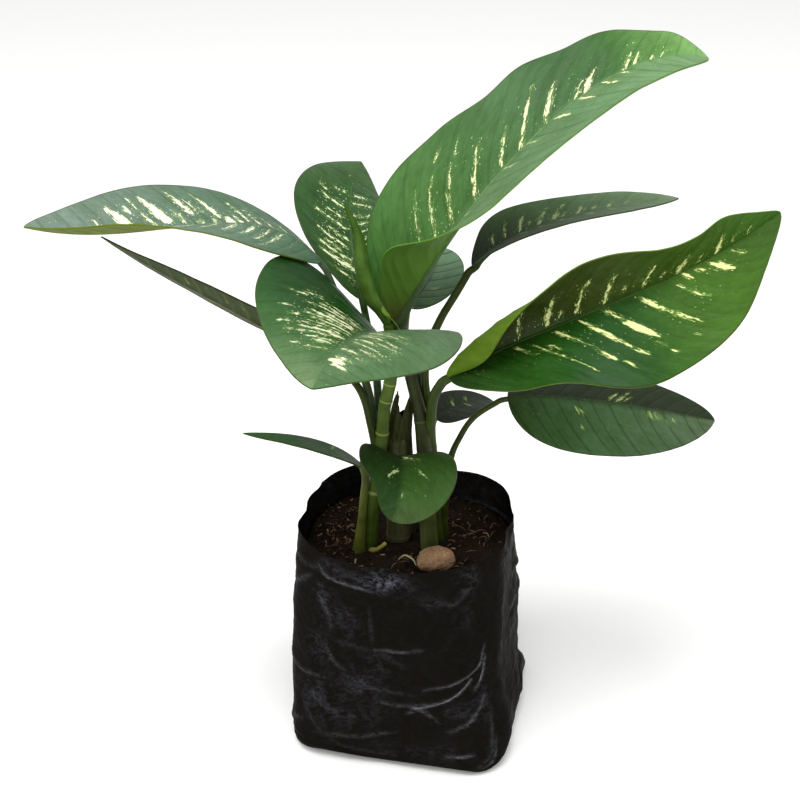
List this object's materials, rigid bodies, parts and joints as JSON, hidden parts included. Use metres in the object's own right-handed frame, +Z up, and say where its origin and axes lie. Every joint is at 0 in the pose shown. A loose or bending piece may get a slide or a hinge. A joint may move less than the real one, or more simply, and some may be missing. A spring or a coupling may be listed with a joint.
{
  "type": "potted dieffenbachia",
  "caption": "Potted dieffenbachia: variegated oval leaves on slender arching stalks from short green canes, planted in potting mix in a soft black film grow bag",
  "frame": {"origin": "the centre of the bag's flat base, where it stands on the ground", "axes": "+Z is up and the canes rise along it; -Y is the front, the side the picture was taken from; +X is to the right as seen from the front"},
  "size_m": [0.4704, 0.2706, 0.479],
  "materials": {
    "film": "satin",
    "potting_mix": "matte",
    "clay": "matte",
    "cane": "satin",
    "young_leaf": "satin",
    "stalk": "satin",
    "leaf": "satin"
  },
  "bodies": {
    "root": {"grow_bag": "film", "potting_soil": "potting_mix", "clay_pebble": "clay", "cane_left": "cane", "cane_centre": "cane", "cane_right": "cane", "leaf_rolled": "young_leaf", "broken_stalk": "stalk", "leaf_top_right": "leaf", "leaf_left": "leaf", "leaf_left_low": "leaf", "leaf_back_centre": "leaf", "leaf_front": "leaf", "leaf_back_right": "leaf", "leaf_right_arch": "leaf", "leaf_right": "leaf", "leaf_right_low": "leaf", "leaf_back_small": "leaf", "leaf_left_small": "leaf", "leaf_front_small": "leaf"}
  },
  "joints": []
}
